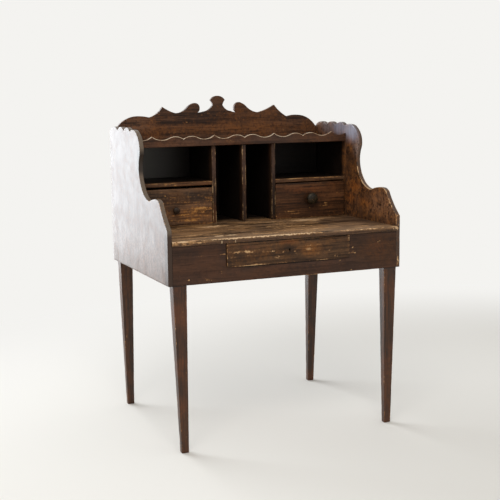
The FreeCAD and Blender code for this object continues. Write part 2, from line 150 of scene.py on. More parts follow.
def newMaterial(name):
    material = bpy.data.materials.new(name)
    material.use_nodes = True
    return material, material.node_tree, material.node_tree.nodes["Principled BSDF"]


# Old pine: stain over grain, worn through on edges, in patches and along the streaks
pineLook = {
    "grain": "X",
    "shift": (0, 0, 0),                 # moves the pattern, so no two boards are cut alike
    "dark": (44, 31, 23),
    "mid": (84, 59, 43),
    "warm": (116, 70, 36),
    "warmth": 0.45,
    "blotch": 6,                        # blotches to a metre
    "mottling": 0.4,
    "streaking": 1.0,                   # contrast of the grain
    "fineness": (1, 1, 1),              # of the coarse grain along each axis
    "dirt": 0.55,                       # dark streaks of old dirt
    "speckle": 0.15,                    # small specks where the stain took well or badly
    "calm": [],                         # (place, reach) of what is neither mottled nor speckled
    "tan": (160, 113, 66),
    "pale": (216, 184, 142),
    "grime": (18, 13, 10),
    "edge": 0.6,                        # how far the stain has gone from the edges
    "steady": 0.25,                     # how unbroken that wear is
    "scuff": 0.0,                       # and how far from the streaks of the faces
    "gloss": (0.36, 0.5),
    "shine": 0.14,
    "relief": 0.4,
    "worn": [],                         # (place, reach, strength) of worn patches
    "tints": [],                        # (place, reach, strength, tone) of stained patches, and of painted sheen and painted shade
    "shades": [],                       # (place, reach, core, strength, tone) of painted shade and light, dark stretches and chips
    "sawn": None,                       # (face axis, strength, tone) of the sawn edges
}
grainMarks = {                          # marks to a metre along and across; detail, roughness and twist
    "bands": ((0.9, 21), (3, 0.5, 0.9)),
    "streaks": ((2.6, 66), (7, 0.62, 0.5)),
    "fibres": ((7, 190), (4, 0.6, 0.3)),
    "pores": ((15, 340), (3, 0.6, 0.0)),
    "flecks": ((10, 150), (5, 0.6, 0.25)),
}
coarseMarks = ("bands", "streaks", "flecks")
blotchQuality = (5, 0.6, 0.4)           # detail, roughness and twist again
evenMarks = {                           # marks to a metre, the same all ways
    "stains": (58, (6, 0.66, 0.3)),
    "chips": (110, (6, 0.7, 0.2)),
    "wander": (13, (3, 0.6, 0.0)),
}
markRange = {                           # noise at which a mark begins, and at which it is full
    "warm": (0.44, 0.68),
    "brokenTint": (0.36, 0.6),
    "mottledTint": (0.4, 0.58),
    "speckled": (0.36, 0.6),
    "stained": (0.48, 0.66),
    "pored": (0.48, 0.72),
    "warmSpecks": (0.52, 0.66),
    "darkSpecks": (0.48, 0.34),
    "dirty": (0.46, 0.34),
    "sawnFace": (0.3, 0.75),            # this one by how far the face is turned
    "sawMarks": (0.3, 0.6),
    "joint": (-0.15, -0.9),             # and this one by the wear of the edges
    "wander": (0.38, 0.62),
    "worn": (0.45, 0.8),
    "bare": (0.6, 1.25),
    "gloss": (0.3, 0.7),
}
markShare = {
    "grain": (0.28, 0.42, 0.3),         # of bands, streaks and fibres
    "contrast": 0.1,                    # half of the step from dark to mid
    "leastTint": 0.55,
    "leastSpeckle": 0.3,
    "pores": 0.5,
    "leastSawMark": 0.6,
    "joint": 0.75,
    "mostWear": 1.15,
    "ragged": (2.6, 1.6, 2.1),          # flecks and chips of a worn rim, less their mean
    "dulled": 0.15,                     # bare wood is rougher
    "poreHeight": 0.6,
    "wornHeight": -0.35,
}
raggedRim = {"pitch": 95, "detail": 4, "along": 0.05, "across": 0.016}
pineDepth = 0.0008


def pineNoises(tree, place, look):
    noises = {}
    for kind, ((along, across), quality) in grainMarks.items():
        pitch = [along if axis == look["grain"] else across for axis in "XYZ"]
        if kind in coarseMarks:
            pitch = [value * fine for value, fine in zip(pitch, look["fineness"])]
        noises[kind] = mottle(tree, stretch(tree, place, pitch, look["shift"]), 1, *quality)
    moved = stretch(tree, place, (1, 1, 1), look["shift"])
    noises["blotches"] = mottle(tree, moved, look["blotch"], *blotchQuality)
    for kind, (pitch, quality) in evenMarks.items():
        noises[kind] = mottle(tree, moved, pitch, *quality)
    return noises


def stainTone(tree, place, look, noises):
    # stain, darker and lighter with the grain, blotched and tinted
    bandShare, streakShare, fibreShare = markShare["grain"]
    grain = blend(tree, noises["bands"], bandShare, noises["streaks"], streakShare)
    grain = blend(tree, grain, 1.0, noises["fibres"], fibreShare)
    half = markShare["contrast"] / look["streaking"]
    shade = ease(tree, grain, 0.5 - half, 0.5 + half)
    colour = mixTones(tree, shade, tone(*look["dark"]), tone(*look["mid"]))
    warmMask = reckon(tree, "MULTIPLY", ease(tree, noises["blotches"], *markRange["warm"]), look["warmth"])
    colour = mixTones(tree, warmMask, colour, tone(*look["warm"]))
    # tinted patches: stains, and painted sheen and painted shade where a look lists them
    for at, reach, strength, hue in look["tints"]:
        mask = reckon(tree, "MULTIPLY", spot(tree, place, at, reach), strength)
        broken = ease(tree, grain, *markRange["brokenTint"], markShare["leastTint"], 1.0)
        mask = reckon(tree, "MULTIPLY", mask, broken)
        # a faint tint is the more mottled
        mottled = ease(tree, noises["chips"], *markRange["mottledTint"], strength * strength, 1.0)
        colour = mixTones(tree, reckon(tree, "MULTIPLY", mask, mottled), colour, tone(*hue))
    return colour


def mottledTone(tree, place, look, noises, colour):
    # spots, pores, specks and dirt over the stain
    mottling = look["mottling"]
    leastSpeckle = markShare["leastSpeckle"] * look["speckle"]
    speckle = ease(tree, noises["blotches"], *markRange["speckled"], leastSpeckle, look["speckle"])
    for at, reach in look["calm"]:
        rest = reckon(tree, "SUBTRACT", 1.0, spot(tree, place, at, reach))
        mottling = reckon(tree, "MULTIPLY", mottling, rest)
        speckle = reckon(tree, "MULTIPLY", speckle, rest)
    spots = reckon(tree, "MULTIPLY", ease(tree, noises["stains"], *markRange["stained"]), mottling)
    colour = mixTones(tree, spots, colour, tone(*look["dark"]))
    pored = ease(tree, noises["pores"], *markRange["pored"], 0.0, markShare["pores"])
    colour = mixTones(tree, pored, colour, tone(*look["dark"]))
    for kind, hue in (("warmSpecks", "warm"), ("darkSpecks", "dark")):
        specks = reckon(tree, "MULTIPLY", ease(tree, noises["chips"], *markRange[kind]), speckle)
        colour = mixTones(tree, specks, colour, tone(*look[hue]))
    dirty = ease(tree, noises["flecks"], *markRange["dirty"], 0.0, look["dirt"])
    return mixTones(tree, dirty, colour, tone(*look["grime"]))


def sawnTone(tree, normal, look, noises, colour):
    # the edges that the saw left, as against the planed faces
    axis, strength, hue = look["sawn"]
    facing = addNode(tree, "ShaderNodeSeparateXYZ", {0: normal}).outputs[axis]
    facing = addNode(tree, "ShaderNodeMath", {0: facing}, operation="ABSOLUTE").outputs[0]
    sawn = ease(tree, facing, *markRange["sawnFace"], strength, 0.0)
    sawMarks = ease(tree, noises["chips"], *markRange["sawMarks"], markShare["leastSawMark"], 1.0)
    return mixTones(tree, reckon(tree, "MULTIPLY", sawn, sawMarks), colour, tone(*hue))


def wornTone(tree, place, look, noises, colour):
    # grime in the joints, bare wood where hands and brooms have rubbed
    edge = addNode(tree, "ShaderNodeAttribute", attribute_name="wear").outputs["Fac"]
    grimy = ease(tree, edge, *markRange["joint"], 0.0, markShare["joint"])
    colour = mixTones(tree, grimy, colour, tone(*look["grime"]))
    rubbed = ease(tree, edge, 0.0, 1.0, 0.0, look["edge"])
    broken = ease(tree, noises["wander"], *markRange["wander"], look["steady"], markShare["mostWear"])
    signal = reckon(tree, "MULTIPLY", rubbed, broken)
    signal = reckon(tree, "ADD", signal, look["scuff"])
    sway = [raggedRim["along"] if axis == look["grain"] else raggedRim["across"] for axis in "XYZ"]
    raggedPlace = roughen(tree, place, raggedRim["pitch"], raggedRim["detail"], sway)
    for at, reach, strength in look["worn"]:
        patch = reckon(tree, "MULTIPLY", spot(tree, raggedPlace, at, reach), strength)
        signal = reckon(tree, "ADD", signal, patch)
    fleckShare, chipShare, mean = markShare["ragged"]
    ragged = blend(tree, noises["flecks"], fleckShare, noises["chips"], chipShare)
    signal = reckon(tree, "ADD", signal, reckon(tree, "SUBTRACT", ragged, mean))
    wornMask = ease(tree, signal, *markRange["worn"])
    bare = mixTones(tree, ease(tree, signal, *markRange["bare"]), tone(*look["tan"]), tone(*look["pale"]))
    return mixTones(tree, wornMask, colour, bare), wornMask


def pineFinish(name, **changes):
    look = {**pineLook, **changes}
    material, tree, shader = newMaterial(name)
    coords = addNode(tree, "ShaderNodeTexCoord")
    place = coords.outputs["Object"]
    noises = pineNoises(tree, place, look)
    colour = stainTone(tree, place, look, noises)
    colour = mottledTone(tree, place, look, noises, colour)
    if look["sawn"]:
        colour = sawnTone(tree, coords.outputs["Normal"], look, noises, colour)
    colour, wornMask = wornTone(tree, place, look, noises, colour)
    # boxed marks laid last: painted shade and painted light, darker stretches and fresh chips
    for at, reach, core, strength, hue in look["shades"]:
        mask = reckon(tree, "MULTIPLY", spot(tree, place, at, reach, core, True), strength)
        colour = mixTones(tree, mask, colour, tone(*hue))
    tree.links.new(colour, shader.inputs["Base Color"])
    gloss = ease(tree, noises["blotches"], *markRange["gloss"], *look["gloss"])
    gloss = blend(tree, gloss, 1.0, wornMask, markShare["dulled"])
    tree.links.new(gloss, shader.inputs["Roughness"])
    shader.inputs["Specular IOR Level"].default_value = look["shine"]
    height = blend(tree, noises["streaks"], 1.0, noises["pores"], markShare["poreHeight"])
    height = blend(tree, height, 1.0, wornMask, markShare["wornHeight"])
    addBump(tree, shader, height, look["relief"], pineDepth)
    return material


# Old iron of the lock and the nails
ironLook = {
    "dark": (40, 37, 35),
    "rust": (84, 54, 36),
    "patches": 90,                      # to a metre
    "quality": (6, 0.65, 0.4),          # detail, roughness and twist of the rust
    "rusted": (0.4, 0.62),              # noise at which rust begins, and at which it is full
    "dulled": (0.35, 0.65),
    "gloss": (0.45, 0.75),
    "metal": (0.8, 0.1),                # bright and rusted
    "relief": 0.5,
    "depth": 0.0004,
}


def ironFinish(name):
    material, tree, shader = newMaterial(name)
    place = addNode(tree, "ShaderNodeTexCoord").outputs["Object"]
    rust = mottle(tree, place, ironLook["patches"], *ironLook["quality"])
    mask = ease(tree, rust, *ironLook["rusted"])
    colour = mixTones(tree, mask, tone(*ironLook["dark"]), tone(*ironLook["rust"]))
    tree.links.new(colour, shader.inputs["Base Color"])
    gloss = ease(tree, rust, *ironLook["dulled"], *ironLook["gloss"])
    tree.links.new(gloss, shader.inputs["Roughness"])
    metal = ease(tree, rust, *ironLook["rusted"], *ironLook["metal"])
    tree.links.new(metal, shader.inputs["Metallic"])
    addBump(tree, shader, rust, ironLook["relief"], ironLook["depth"])
    return material


# Pieces, named after the nodes that they replace

def pieceName(node):
    first, *rest = node.split("_")
    return first + "".join(word.title() for word in rest)


def addPiece(name, mesh, finish, body, slot, *stoodFor):
    piece = bpy.data.objects.new(name, mesh)
    bpy.context.scene.collection.objects.link(piece)
    mesh.materials.clear()
    mesh.materials.append(finish)
    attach(piece, body)
    if stoodFor:
        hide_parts(*stoodFor)


# Worn boards: a board of the frame with its edges rubbed round and chipped
boardWear = {
    "step": 0.014,                      # spacing of the points along an edge
    "band": 0.0045,                     # how far wear reaches in from an edge
    "bandShare": 0.3,                   # and how much of a narrow face it takes
    "round": 0.0012,                    # rounding of an edge
    "soft": 0.0008,                     # slow wander of a rubbed edge
    "softPitch": 38,                    # to a metre
    "chip": 0.0008,                     # depth of its small chips
    "chipPitch": 130,
    "chipRare": 0.2,                    # noise below this leaves no chip
    "sharp": math.radians(28),
    "flat": math.radians(0.6),
    "smooth": math.radians(38),         # shaded smooth across edges up to this
    "seam": 0.0009,                     # an edge this near another board is a joint
    "within": ((-1, -1, -1), (1, 1, 2)),    # the space whose edges are rubbed pale
}
shapes = {}
for node, solid in nodes.items():
    bm = bmesh.new()
    bm.from_mesh(solid.data)
    shapes[node] = BVHTree.FromBMesh(bm)
    bm.free()


def joinedBoards(node, seam):
    # the shapes on the same body whose boxes come within a seam of this one
    low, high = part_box(node)
    for other in nodes:
        if other == node or bodyOf[other] != bodyOf[node]:
            continue
        otherLow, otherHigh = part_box(other)
        gaps = [max(low[axis] - otherHigh[axis], otherLow[axis] - high[axis]) for axis in range(3)]
        if max(gaps) < seam:
            yield shapes[other]


def facePatches(bm, sharp):
    # faces grouped so that only sharp edges divide the groups
    seen = set()
    for first in bm.faces[:]:
        if first in seen:
            continue
        patch = [first]
        seen.add(first)
        for face in patch:
            for edge in face.edges:
                if not edge.is_manifold or edge.calc_face_angle() > sharp:
                    continue
                for other in edge.link_faces:
                    if other not in seen:
                        seen.add(other)
                        patch.append(other)
        yield patch


def insetPatch(bm, patch, wear):
    # a narrow patch gets a narrow band
    inside = set(patch)
    rim = [edge for face in patch for edge in face.edges if not inside.issuperset(edge.link_faces)]
    area = sum(face.calc_area() for face in patch)
    width = 2 * area / max(mergeGap, sum(edge.calc_length() for edge in rim))
    bmesh.ops.inset_region(bm, faces=patch, thickness=min(wear["band"], wear["bandShare"] * width),
                           use_boundary=True, use_even_offset=True)


def rubEdges(verts, wearLayer, node, wear):
    low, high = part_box(node)
    first, last = wear["within"]
    joined = list(joinedBoards(node, wear["seam"]))
    for vert in verts:
        if any(shape.find_nearest(vert.co, wear["seam"])[0] for shape in joined):
            vert[wearLayer] = -1
            continue
        if all(start < value < end for start, value, end in zip(first, vert.co, last)):
            vert[wearLayer] = 1
        soft = max(0, noise.noise(vert.co * wear["softPitch"]))
        chip = max(0, noise.noise(vert.co * wear["chipPitch"]) - wear["chipRare"])
        vert.co -= vert.normal * (wear["soft"] * soft + wear["chip"] * chip)
        vert.co = [min(max(value, start), end) for value, start, end in zip(vert.co, low, high)]


def wornBoard(node, finish, **changes):
    wear = {**boardWear, **changes}
    bm = bmesh.new()
    bm.from_mesh(nodes[node].data)
    wearLayer = bm.verts.layers.float.new("wear")
    bmesh.ops.remove_doubles(bm, verts=bm.verts, dist=mergeGap)
    bmesh.ops.dissolve_limit(bm, angle_limit=wear["flat"], verts=bm.verts, edges=bm.edges)
    bmesh.ops.recalc_face_normals(bm, faces=bm.faces)
    longEdges = {}
    for edge in bm.edges:
        longEdges.setdefault(int(edge.calc_length() / wear["step"]), []).append(edge)
    for cuts, edges in longEdges.items():
        if cuts:
            bmesh.ops.bisect_edges(bm, edges=edges, cuts=cuts)
    for patch in list(facePatches(bm, wear["sharp"])):
        insetPatch(bm, patch, wear)
    bm.normal_update()
    sharpEdges = [edge for edge in bm.edges if edge.is_manifold and edge.calc_face_angle() > wear["sharp"]]
    rubbed = bmesh.ops.bevel(bm, geom=sharpEdges, offset=wear["round"], offset_type="OFFSET", segments=2,
                             profile=0.5, affect="EDGES", clamp_overlap=True, material=-1)["verts"]
    bm.normal_update()
    rubEdges(rubbed, wearLayer, node, wear)
    mesh = bpy.data.meshes.new(pieceName(node))
    bm.to_mesh(mesh)
    bm.free()
    mesh.shade_smooth()
    mesh.set_sharp_from_angle(angle=wear["smooth"])
    addPiece(pieceName(node), mesh, finish, bodyOf[node], slotOf[node], node)


# Side boards
paintedShade = (22, 16, 13)                      # painted shade, near black: deep in the pigeonholes, in the keyhole and in the shadow lines round the main drawer
sideBoards = {
    "left": {
        "shift": (3, 1, 7),
        "dark": (60, 44, 35),
        "mid": (92, 68, 54),
        "warmth": 0.3,
        "blotch": 22,
        "mottling": 0.45,
        "streaking": 0.5,
        "dirt": 0.25,
        "edge": 0.4,
        "gloss": (0.37, 0.43),
        "shine": 0.27,
        "relief": 0.045,
        "sawn": ("X", 0.85, (110, 97, 82)),
        "tints": [((-outerFace, 0, 0.6), (0.012, 3, 0.2), 0.5, (142, 118, 106))],
        "shades": [
            # painted shade deep in the pigeonholes
            ((-innerFace, 0.31, 0.86), (0.014, 0.236, 0.16), 0.9, 0.95, paintedShade),
            # darker low on the front edge, below the desk top
            ((-0.43, -0.325, 0.63), (0.05, 0.04, 0.125), 0.85, 0.9, (54, 36, 26)),
            # darker in the hollow of the front edge's sweep
            ((-0.43, -0.03, 0.965), (0.03, 0.024, 0.053), 0.5, 0.85, (38, 30, 26)),
        ],
    },
    "right": {
        "shift": (5, 2, 1),
        "dark": (56, 37, 26),
        "mid": (140, 96, 66),
        "warm": (176, 114, 60),
        "warmth": 0.7,
        "blotch": 30,
        "mottling": 1.2,
        "streaking": 0.5,
        "dirt": 0.3,
        "speckle": 0.9,
        "calm": [
            ((outerFace, 0, 0.8), (0.016, 3, 3)),
            ((innerFace, 0.08, 1.06), (0.05, 0.25, 0.08)),
        ],
        "edge": 0.95,
        "steady": 0.6,
        "shine": 0.34,
        "gloss": (0.36, 0.44),
        "sawn": ("X", 0.7, (62, 47, 36)),
        "worn": [
            ((0.428, -0.320, 0.719), (0.008, 0.008, 0.010), 1.3),
            ((0.430, -0.320, 0.600), (0.004, 0.010, 0.03), 1.1),
        ],
        "tints": [
            ((innerFace, -0.01, 0.843), (0.013, 0.06, 0.035), 0.75, (206, 120, 46)),
            ((innerFace, 0.025, 0.795), (0.013, 0.06, 0.035), 0.7, (198, 116, 46)),
            ((innerFace, -0.10, 0.785), (0.013, 0.08, 0.03), 0.7, (190, 114, 50)),
            ((innerFace, -0.22, 0.785), (0.013, 0.16, 0.08), 0.7, (178, 132, 100)),
            ((innerFace, 0.02, 0.93), (0.013, 0.06, 0.06), 0.7, (60, 42, 30)),
            # painted shade in the corner by the pigeonholes
            ((innerFace, 0.06, 0.80), (0.013, 0.03, 0.13), 0.85, (46, 31, 23)),
            ((innerFace, -0.08, 0.733), (0.013, 0.30, 0.025), 0.75, (58, 40, 30)),
            ((outerFace, 0, 0.8), (0.014, 3, 3), 0.95, (84, 58, 42)),
            # painted sheen: a pale bluish glare of light high on the inner face, where light comes in over
            # the crest
            ((innerFace, -0.035, 0.985), (0.013, 0.05, 0.05), 0.9, (172, 152, 144)),
            ((innerFace, 0.01, 1.05), (0.013, 0.11, 0.06), 1.0, (168, 172, 192)),
            ((innerFace, 0.22, 1.065), (0.013, 0.11, 0.05), 0.9, (128, 118, 122)),
            ((innerFace, 0.115, 1.06), (0.013, 0.07, 0.045), 0.95, (140, 148, 172)),
        ],
        # painted shade deep in the pigeonholes
        "shades": [((innerFace, 0.31, 0.86), (0.014, 0.236, 0.16), 0.9, 0.97, paintedShade)],
    },
}
armRest = ((-1, -1, 0.73), (1, 1, 0.92))    # sleeves rub only the low sweep of a side
for side, look in sideBoards.items():
    finish = pineFinish(f"sidePine{side.title()}", grain="Z", **look)
    wornBoard(f"side_{side}", finish, within=armRest)
print("side boards done")

# Frieze
friezeLook = {
    "grain": "X",
    "shift": (1, 4, 2),
    "dark": (45, 32, 26),
    "mid": (78, 56, 45),
    "warm": (96, 61, 40),
    "warmth": 0.4,
    "streaking": 0.65,
    "dirt": 0.35,
    "edge": 0.45,
    "steady": 0.1,
    "worn": [
        ((0.241, apronFace, 0.660), (0.007, 0.01, 0.006), 1.1),
        ((0.250, apronFace, 0.640), (0.024, 0.01, 0.003), 0.8),
        ((0.195, apronFace, 0.616), (0.020, 0.01, 0.004), 0.7),
        ((0.241, apronFace, 0.579), (0.006, 0.01, 0.005), 0.9),
        ((-0.367, apronFace, 0.593), (0.009, 0.01, 0.006), 0.52),
        ((-0.303, apronFace, 0.587), (0.009, 0.01, 0.008), 0.75),
        ((0.351, apronFace, 0.672), (0.004, 0.01, 0.003), 0.9),
        ((-0.250, apronFace, 0.668), (0.024, 0.01, 0.008), 0.4),
    ],
    "tints": [
        ((0.36, apronFace, 0.65), (0.20, 0.05, 0.10), 0.7, (80, 51, 27)),
        ((0.345, apronFace, 0.655), (0.07, 0.05, 0.06), 0.55, (100, 60, 34)),
        ((0.0, apronFace, 0.60), (0.25, 0.05, 0.022), 0.45, (92, 60, 40)),
    ],
    # painted shadow of the drawer front on the frieze beneath it
    "shades": [((0, apronFace, 0.6225), (0.236, 0.008, 0.004), 0.5, 0.85, paintedShade)],
}
friezePine = pineFinish("friezePine", **friezeLook)
lowerEdge = ((-1, -1, 0.5), (1, 1, 0.58))
wornBoard("front_apron", friezePine, within=lowerEdge)
wornBoard("rear_apron", friezePine, within=lowerEdge)
print("frieze done")

# Desk top
deskLook = {
    "grain": "X",
    "shift": (2, 6, 3),
    "dark": (58, 42, 30),
    "mid": (146, 114, 86),
    "warm": (168, 120, 68),
    "warmth": 0.4,
    "streaking": 1.9,
    "fineness": (1, 0.34, 1),           # the grain of a face that is always seen aslant
    "dirt": 0.8,
    "speckle": 0.3,
    "tan": (187, 141, 92),
    "pale": (222, 190, 152),
    "edge": 0.65,
    "steady": 0.35,
    "scuff": 0.36,
    "shine": 0.2,
    "gloss": (0.38, 0.52),
    "worn": [
        ((-0.165, -0.02, deskHeight), (0.10, 0.05, 0.02), 0.5),
        ((0.225, -0.01, deskHeight), (0.10, 0.06, 0.02), 0.65),
        ((-0.231, -0.262, deskHeight), (0.022, 0.016, 0.01), 1.9),
        ((-0.186, -0.258, deskHeight), (0.024, 0.012, 0.01), 1.6),
        ((0, -0.3255, 0.7220), (3, 0.0036, 0.0030), 0.5),
        ((-0.10, -0.3255, 0.7218), (0.28, 0.0045, 0.004), 1.15),
        ((-0.370, deskNose, 0.715), (0.07, 0.010, 0.009), 0.35),
        ((0.417, deskNose, 0.717), (0.006, 0.008, 0.007), 1.6),
        ((0.15, -0.3275, 0.7120), (0.62, 0.010, 0.0095), -0.9),
        ((0.38, -0.10, deskHeight), (0.13, 0.22, 0.03), -0.4),
    ],
    "tints": [
        # a pale greyish band along the front of the top: worn finish, and painted sheen
        ((0, -0.30, deskHeight), (3, 0.07, 0.006), 0.55, (154, 130, 106)),
        ((0, -0.3275, 0.711), (3, 0.008, 0.010), 0.95, (66, 43, 31)),
        ((0.41, -0.12, deskHeight), (0.09, 0.22, 0.01), 0.9, (62, 46, 37)),
    ],
    "shades": [
        # painted shade on the desk top under the pigeonholes
        ((0, 0.31, 0.72), (0.6, 0.236, 0.05), 0.55, 0.96, paintedShade),
        ((-0.250, deskNose, 0.7105), (0.0026, 0.02, 0.0075), 0.3, 0.85, (206, 178, 142)),
        ((-0.201, deskNose, 0.7105), (0.0020, 0.02, 0.0085), 0.3, 0.7, (206, 178, 142)),
    ],
}
deskPine = pineFinish("deskPine", **deskLook)
topEdge = ((-1, -1, 0.7145), (1, -0.3, 1))
noseWear = {"soft": 0.0016, "chip": 0.002, "step": 0.007}
wornBoard("desk_front_board", deskPine, within=topEdge, **noseWear)
wornBoard("desk_back_board", deskPine, within=topEdge)
print("desk top done")

# Back, crest and gallery
crestLook = {
    "grain": "X",
    "shift": (7, 2, 5),
    "dark": (48, 32, 24),
    "mid": (110, 76, 55),
    "warm": (134, 82, 42),
    "streaking": 1.1,
    "dirt": 0.55,
    "speckle": 0.7,
    "edge": 0.15,
    "tints": [
        ((-0.06, backFace, 1.062), (0.55, 0.05, 0.03), 0.65, (140, 88, 48)),
        ((-0.34, backFace, 1.085), (0.11, 0.05, 0.05), 0.75, (136, 100, 78)),
        ((0.088, backFace, 1.09), (0.07, 0.05, 0.03), 0.6, (44, 32, 26)),
        ((0, backFace, 1.16), (0.6, 0.05, 0.06), 0.6, (50, 37, 29)),
    ],
}
crestPine = pineFinish("crestPine", **crestLook)
wornBoard("crest_board", crestPine, band=0.003)
backLook = {
    "grain": "X",
    "shift": (3, 9, 5),
    "edge": 0.2,
    "shades": [
        # painted shade on the back inside the pigeonholes
        ((0, 0.30, 0.86), (1.2, 0.024, 0.6), 0.6, 0.93, (20, 16, 14)),
        # painted light: a grey sheen on the back in the left pigeonhole, fading to the right
        ((-0.41, backFace, 0.945), (0.30, 0.010, 0.16), 0.1, 0.95, (136, 133, 128)),
    ],
}
wornBoard("back_board", pineFinish("backPine", **backLook))
galleryLook = {
    "grain": "X",
    "shift": (4, 4, 1),
    "dark": (50, 35, 28),
    "mid": (86, 62, 49),
    "warm": (122, 74, 42),
    "pale": (228, 208, 180),
    "edge": 1.2,
    "steady": 0.8,
    "tints": [
        ((-0.29, 0.06, 1.025), (0.18, 0.05, 0.05), 0.7, (108, 74, 54)),
        ((0.31, 0.06, 1.025), (0.16, 0.05, 0.05), 0.7, (106, 66, 38)),
    ],
}
galleryPine = pineFinish("galleryPine", **galleryLook)
galleryEdge = ((-1, -1, 1.03), (0.36, 0.0625, 2))    # its waved edge, but for the right end
wornBoard("gallery_rail", galleryPine, band=0.002, within=galleryEdge)
print("crest and gallery done")

# Pigeonholes
nestLook = {
    "dark": (46, 32, 24),
    "mid": (86, 62, 47),
    "edge": 0.8,
    "steady": 0.4,
    # painted shade deep in the pigeonholes
    "shades": [((0, 0.31, 0.87), (0.6, 0.236, 0.6), 0.85, 0.97, paintedShade)],
}
dividerLook = {
    "grain": "Z",
    "shift": (6, 3, 2),
    "dark": (40, 28, 21),
    "mid": (74, 53, 40),
    "edge": 0.68,
    "steady": 0.4,
    "tan": (150, 116, 80),
    "pale": (202, 172, 134),
    "tints": [((0, nestFace, 0.94), (0.4, 0.010, 0.10), 0.7, (92, 74, 66))],
}
shelfLook = {
    "grain": "X",
    "shift": (2, 3, 8),
    "mid": (122, 90, 65),
    "pale": (206, 164, 112),
    "edge": 0.55,
    "steady": 0.15,
    "worn": [
        ((-0.275, nestFace, 0.876), (0.12, 0.008, 0.008), 0.6),
        ((0.27, nestFace, 0.872), (0.16, 0.008, 0.006), 0.3),
    ],
}
capLook = {
    "grain": "X",
    "shift": (9, 1, 3),
    # painted shade under the cabinet top, inside the pigeonholes
    "shades": [((0, 0.28, 1.008), (0.6, 0.21, 0.013), 0.5, 0.97, paintedShade)],
}
frontEdges = ((-1, -1, 0), (1, 0.073, 2))
dividerPine = pineFinish("dividerPine", **{**nestLook, **dividerLook})
for node in ("divider_left", "divider_centre", "divider_right"):
    wornBoard(node, dividerPine, within=frontEdges)
shelfPine = pineFinish("shelfPine", **{**nestLook, **shelfLook})
for node in ("shelf_left", "shelf_right"):
    low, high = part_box(node)
    wornBoard(node, shelfPine, within=((-1, -1, (low[2] + high[2]) / 2), frontEdges[1]))
wornBoard("cabinet_top", pineFinish("capPine", **{**nestLook, **capLook}), within=frontEdges)
print("pigeonholes done")

# Legs
legLook = {
    "grain": "Z",
    "shift": (8, 1, 4),
    "dark": (41, 28, 19),
    "mid": (89, 53, 27),
    "warm": (108, 60, 29),
    "warmth": 0.5,
    "edge": 0.35,
    "shine": 0.36,
}
legPine = pineFinish("legPine", **legLook)
for node in ("leg_front_left", "leg_front_right", "leg_back_right", "leg_back_left"):
    wornBoard(node, legPine, round=0.0035)
print("legs done")

# Drawers
mainFrontLook = {
    "shift": (9, 2, 2),
    "dark": (48, 34, 25),
    "mid": (96, 69, 47),
    "warm": (132, 85, 44),
    "edge": 0.6,
    "steady": 0.4,
    "scuff": 0.1,
    "tan": (156, 114, 74),
    "pale": (204, 168, 124),
    "worn": [
        ((-0.198, drawerFace, 0.672), (0.026, 0.01, 0.006), 0.75),
        ((-0.157, drawerFace, 0.672), (0.028, 0.01, 0.006), 0.9),
        ((-0.191, drawerFace, 0.691), (0.022, 0.01, 0.006), 0.5),
        ((-0.115, drawerFace, 0.629), (0.034, 0.01, 0.008), 0.5),
        ((-0.050, drawerFace, 0.646), (0.004, 0.01, 0.010), 0.9),
        ((-0.060, drawerFace, 0.668), (0.004, 0.01, 0.003), 0.8),
        ((0.074, drawerFace, 0.667), (0.020, 0.01, 0.020), 0.45),
        ((0.024, drawerFace, 0.657), (0.012, 0.01, 0.006), 0.5),
        ((0.150, drawerFace, 0.656), (0.010, 0.01, 0.004), 0.7),
        ((0.177, drawerFace, 0.633), (0.004, 0.01, 0.007), 0.9),
        ((0.229, drawerFace, 0.694), (0.007, 0.01, 0.004), 0.8),
        ((0, -0.316, 0.668), (0.018, 0.03, 0.026), -2.5),
    ],
    "tints": [
        ((-0.006, drawerFace, 0.695), (0.05, 0.03, 0.012), 0.7, (122, 70, 38)),
        ((0.08, drawerFace, 0.664), (0.06, 0.03, 0.035), 0.75, (150, 94, 44)),
        ((-0.15, drawerFace, 0.688), (0.05, 0.03, 0.012), 0.5, (92, 54, 44)),
        ((-0.004, drawerFace, 0.667), (0.045, 0.03, 0.035), 0.98, (38, 30, 24)),
    ],
    "shades": [
        # painted shadow under the desk top's nose, along the drawer's top edge
        ((0, drawerFace, 0.7055), (0.3, 0.03, 0.004), 0.4, 0.9, paintedShade),
        # painted shade inside the keyhole
        ((0, -0.308, 0.668), (0.006, 0.014, 0.014), 0.9, 0.95, paintedShade),
    ],
}
leftFrontLook = {
    "shift": (1, 7, 2),
    "dark": (56, 40, 30),
    "mid": (124, 91, 66),
    "warm": (160, 104, 54),
    "warmth": 0.35,
    "streaking": 1.6,
    "tan": (176, 120, 62),
    "pale": (204, 158, 98),
    "edge": 0.5,
    "scuff": 0.16,
    "worn": [
        ((-0.19, nestFace, 0.772), (0.11, 0.03, 0.035), 0.42),
        ((-0.24, nestFace, 0.746), (0.14, 0.03, 0.014), 0.35),
        ((-0.308, nestFace, 0.833), (0.004, 0.02, 0.004), 1.0),
    ],
    "tints": [
        ((-0.275, nestFace, 0.835), (0.3, 0.05, 0.05), 0.5, (98, 82, 68)),
        ((-0.21, nestFace, 0.758), (0.15, 0.05, 0.035), 0.6, (146, 92, 44)),
        # painted shadow round the knob
        ((-0.29, nestFace, 0.785), (0.05, 0.03, 0.022), 0.7, (44, 32, 26)),
    ],
}
